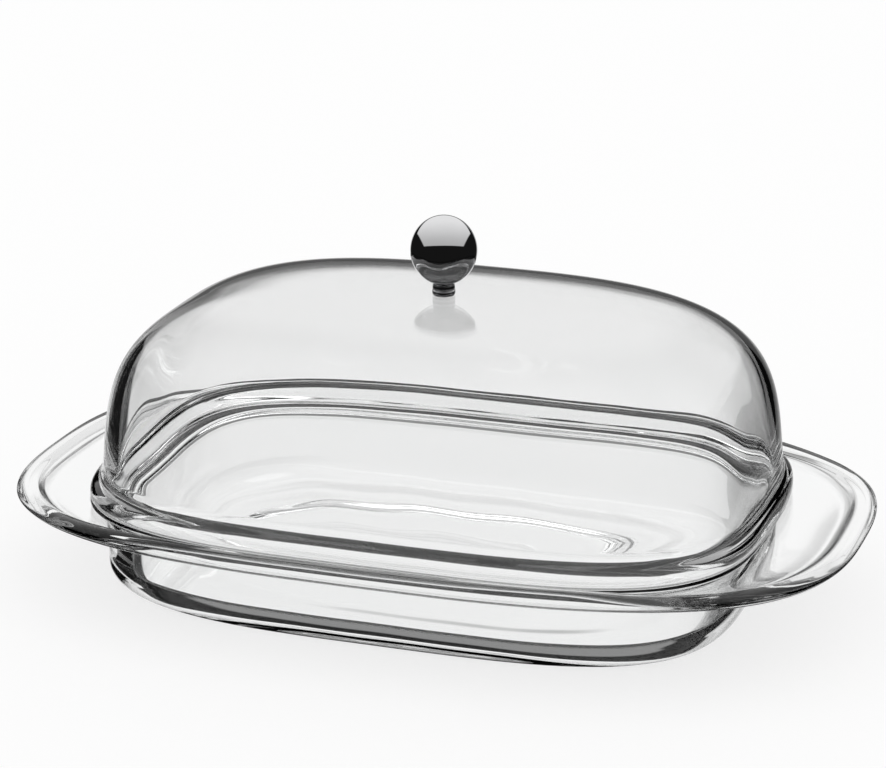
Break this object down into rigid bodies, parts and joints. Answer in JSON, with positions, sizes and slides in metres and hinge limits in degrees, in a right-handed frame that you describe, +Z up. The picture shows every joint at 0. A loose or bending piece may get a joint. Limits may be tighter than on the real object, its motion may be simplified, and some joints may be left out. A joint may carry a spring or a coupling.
{
  "type": "butter dish",
  "caption": "Clear glass butter dish: a rounded rectangular basin with a hand-hold flange, under a domed lift-off glass lid with a polished metal ball knob.",
  "frame": {"origin": "on the table, under the middle of the dish", "axes": "+Z up, +X along the dish's length towards one hand-hold, +Y across its width"},
  "size_m": [0.205, 0.1294, 0.09],
  "materials": {
    "dish_glass": "clear pressed soda-lime glass, fire polished",
    "lid_glass": "clear pressed soda-lime glass, fire polished",
    "clear_adhesive": "clear cured glass adhesive",
    "collar_chrome": "polished",
    "stud_steel": "plain machined",
    "ball_chrome": "mirror polished"
  },
  "bodies": {
    "dish": {"dish": "dish_glass"},
    "lid": {"lid": "lid_glass", "bond_disc": "clear_adhesive", "knob_collar": "collar_chrome", "knob_stud": "stud_steel", "knob_ball": "ball_chrome"}
  },
  "joints": [
    {"name": "lid_lift", "type": "slide", "parent": "dish", "child": "lid", "axis": [0, 0, 1], "range_m": [0, 0.12]}
  ]
}
